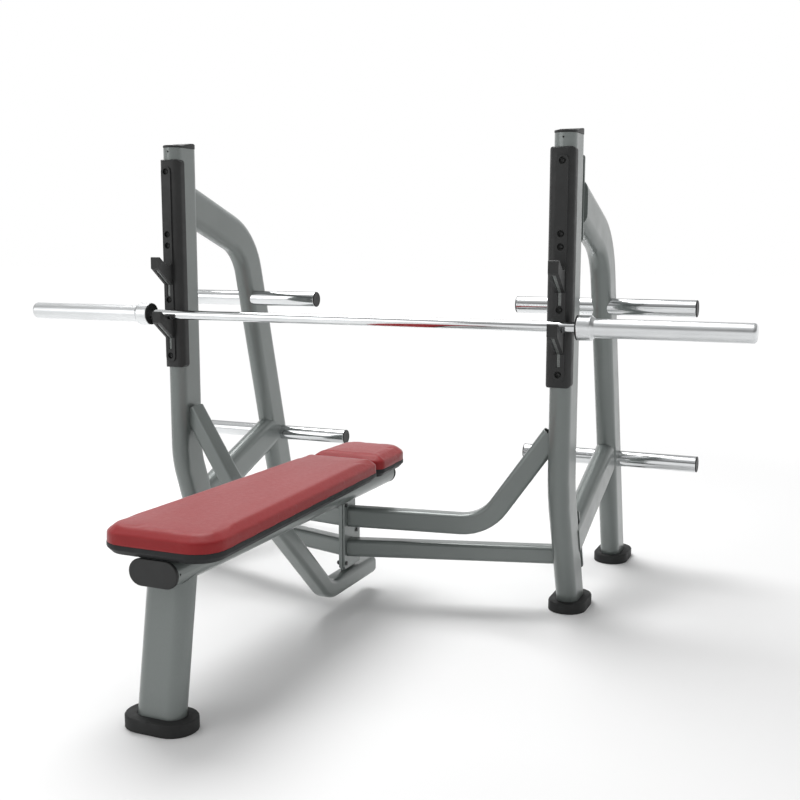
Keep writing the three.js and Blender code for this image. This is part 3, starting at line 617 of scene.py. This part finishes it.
for side in ("left", "right"):
    lo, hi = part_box(f"upright_{side}")
    screw(f"cap_screw_{side}", Vector((mid(f"upright_cap_{side}").x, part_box(f"upright_{side}")[0].y + 0.0012, 1.2945)), (0, -1, 0), "frame")
lo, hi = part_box("bench_beam")
screw("beam_cap_screw", Vector((hi.x - 0.0012, lo.y + 0.007, mid("bench_beam").z + 0.002)), (1, 0, 0), "frame")

# ------------------------------------------------------------------ floor, light, camera
bm = bmesh.new()
N = 24
sweep_pts = [(-30 + 60 * i / N) for i in range(N + 1)]
grid = [[bm.verts.new((x, y, 0.0)) for y in sweep_pts] for x in sweep_pts]
for i in range(N):
    for j in range(N):
        bm.faces.new((grid[i][j], grid[i + 1][j], grid[i + 1][j + 1], grid[i][j + 1]))
floor = bpy.data.objects.new("floor", from_bmesh("floor", bm))
scene.collection.objects.link(floor)
k = Nodes("floor")
k.set(Base_Color=k.ramp(k.noise(0.6, 2.0), [(0.3, (0.82, 0.82, 0.82, 1)), (0.7, (0.84, 0.84, 0.84, 1))]), Roughness=0.85, Specular_IOR_Level=0.1)
# the floor runs out to white well away from the bench
away = k.n("ShaderNodeVectorMath", operation="LENGTH")
k.link(k.co, away.inputs[0])
fade = k.span(away.outputs["Value"], 0.0, 1.0, 1.5, 3.2)
glow = k.n("ShaderNodeEmission")
glow.inputs["Strength"].default_value = 1.02
blend = k.n("ShaderNodeMixShader")
k.link(fade, blend.inputs[0])
k.link(k.b.outputs["BSDF"], blend.inputs[1])
k.link(glow.outputs["Emission"], blend.inputs[2])
k.link(blend.outputs["Shader"], k.out.inputs["Surface"])
floor.data.materials.append(k.m)

world = bpy.data.worlds.new("studio")
scene.world = world
world.use_nodes = True
wt = world.node_tree
wt.nodes.clear()
wo = wt.nodes.new("ShaderNodeOutputWorld")
bg = wt.nodes.new("ShaderNodeBackground")
tc = wt.nodes.new("ShaderNodeTexCoord")
sep = wt.nodes.new("ShaderNodeSeparateXYZ")
wt.links.new(tc.outputs["Generated"], sep.inputs["Vector"])


def wmath(op, a, b=None, clamp=False):
    m = wt.nodes.new("ShaderNodeMath")
    m.operation, m.use_clamp = op, clamp
    for i, v in enumerate((a, b)):
        if v is None:
            continue
        if hasattr(v, "is_linked"):
            wt.links.new(v, m.inputs[i])
        else:
            m.inputs[i].default_value = v
    return m.outputs[0]


def wrange(v, a, b, c, d):
    r = wt.nodes.new("ShaderNodeMapRange")
    r.interpolation_type = "SMOOTHSTEP"
    for name, x in (("From Min", a), ("From Max", b), ("To Min", c), ("To Max", d)):
        r.inputs[name].default_value = x
    wt.links.new(v, r.inputs["Value"])
    return r.outputs["Result"]


# white all round the horizon and ahead of the camera; a grey ring above it, which polished metal picks up,
# then a paler ceiling, brighter on the left
ahead = wmath("MULTIPLY", wrange(sep.outputs["Y"], 0.30, 0.66, 0.0, 1.0), wrange(sep.outputs["Z"], 0.55, 0.32, 0.0, 1.0))
low = wrange(sep.outputs["Z"], 0.13, 0.30, 1.0, 0.0)
white = wmath("MAXIMUM", ahead, low)
leftward = wrange(sep.outputs["X"], 0.6, -0.6, 0.0, 1.0)
up = wrange(sep.outputs["Z"], 0.40, 0.85, 0.0, 1.0)
dim = wmath("ADD", wmath("MULTIPLY", leftward, 0.16), wmath("ADD", wmath("MULTIPLY", up, 0.42), 0.13))
level = wmath("ADD", white, wmath("MULTIPLY", dim, wmath("SUBTRACT", 1.0, white)))
wt.links.new(level, bg.inputs["Strength"])
bg.inputs["Color"].default_value = (1.0, 1.0, 1.0, 1)
wt.links.new(bg.outputs["Background"], wo.inputs["Surface"])


def area(name, place, target, size, power, colour=(1, 1, 1)):
    d = bpy.data.lights.new(name, "AREA")
    d.shape, d.size, d.energy, d.color = "DISK", size, power, colour
    o = bpy.data.objects.new(name, d)
    scene.collection.objects.link(o)
    o.location = place
    o.rotation_mode = "QUATERNION"
    o.rotation_quaternion = (Vector(target) - Vector(place)).to_track_quat("-Z", "Y")
    return o


area("key", (-1.3, 1.2, 4.3), (0, -0.1, 0.3), 3.0, 170)
area("fill", (-3.2, -4.2, 2.6), (0, 0, 0.6), 3.6, 50)
area("top", (0.1, -0.2, 4.6), (0, 0, 0.3), 3.0, 30)

cam = bpy.data.cameras.new("camera")
camera = bpy.data.objects.new("camera", cam)
scene.collection.objects.link(camera)
scene.camera = camera
cam.lens = 49.383
cam.sensor_width = 36.0
az, pitch, roll = math.radians(23.33), math.radians(8.27), math.radians(0.05)
F = Vector((-math.sin(az) * math.cos(pitch), math.cos(az) * math.cos(pitch), -math.sin(pitch)))
Rt = Vector((math.cos(az), math.sin(az), 0))
Up = Rt.cross(F)
Rt, Up = math.cos(roll) * Rt + math.sin(roll) * Up, -math.sin(roll) * Rt + math.cos(roll) * Up
camera.matrix_world = Matrix((
    (Rt.x, Up.x, -F.x, 1.3533), (Rt.y, Up.y, -F.y, -2.7619 + OY), (Rt.z, Up.z, -F.z, 1.0328), (0, 0, 0, 1),
))
scene.view_settings.view_transform = "Standard"
